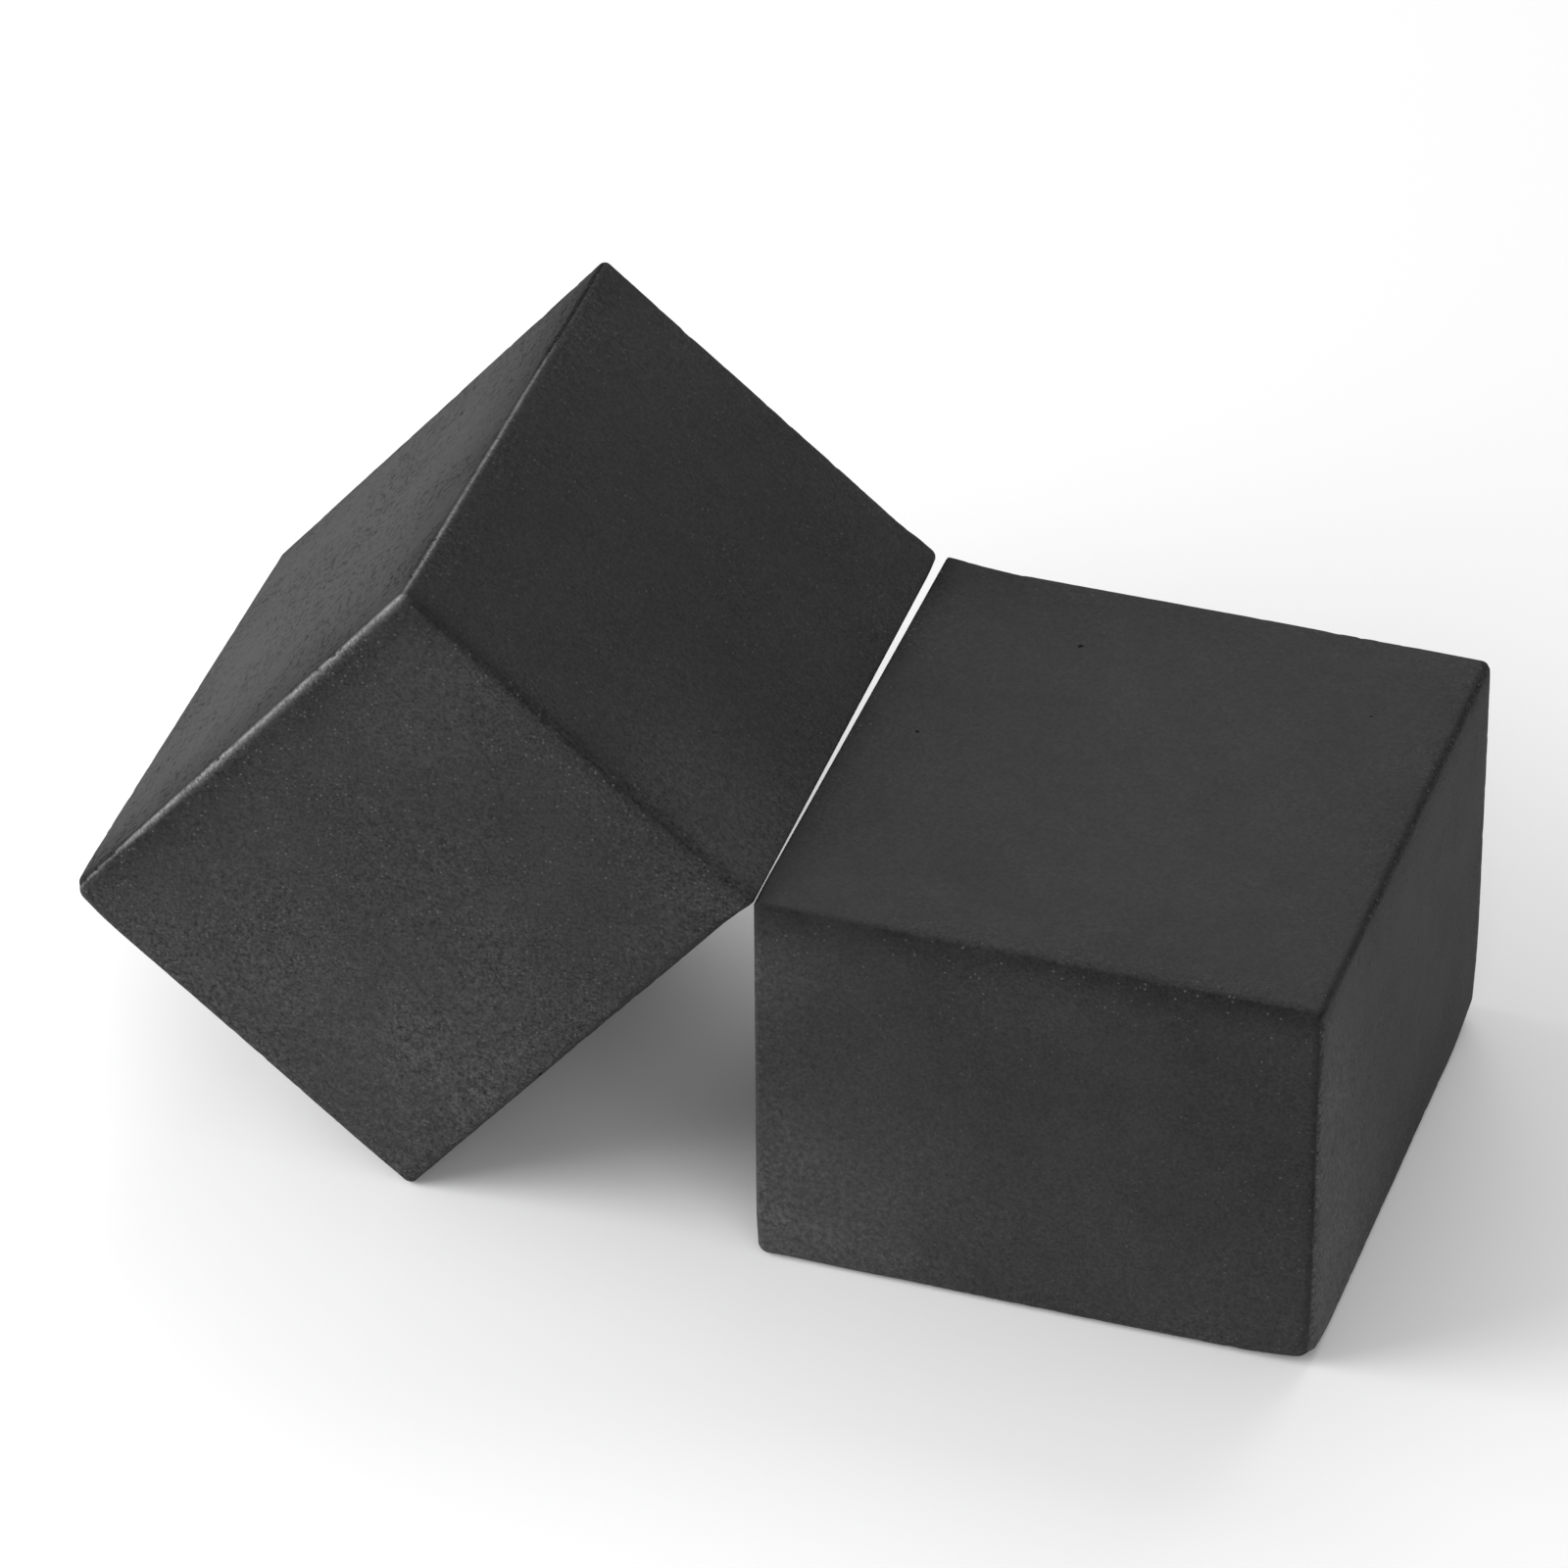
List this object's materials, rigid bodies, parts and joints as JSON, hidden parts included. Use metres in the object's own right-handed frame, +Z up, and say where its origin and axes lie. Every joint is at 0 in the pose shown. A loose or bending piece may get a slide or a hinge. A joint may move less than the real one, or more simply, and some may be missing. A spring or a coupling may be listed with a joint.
{
  "type": "charcoal drawing blocks",
  "caption": "Pair of compressed charcoal drawing blocks with soft edges, one lying flat and one tipped against its upper edge.",
  "frame": {"origin": "centre of the flat block's underside, on the surface that both blocks stand on", "axes": "+X from the leaning block towards the flat block, +Y from the front faces to the back, +Z up"},
  "size_m": [0.1129, 0.0548, 0.0633],
  "materials": {
    "compressed_charcoal": "matte"
  },
  "bodies": {
    "flat_block": {"flat_block": "compressed_charcoal"},
    "leaning_block": {"leaning_block": "compressed_charcoal"}
  },
  "joints": [
    {"name": "leaning_block_lift", "type": "slide", "parent": "flat_block", "child": "leaning_block", "axis": [0, 0, 1], "range_m": [0, 0.07]}
  ]
}
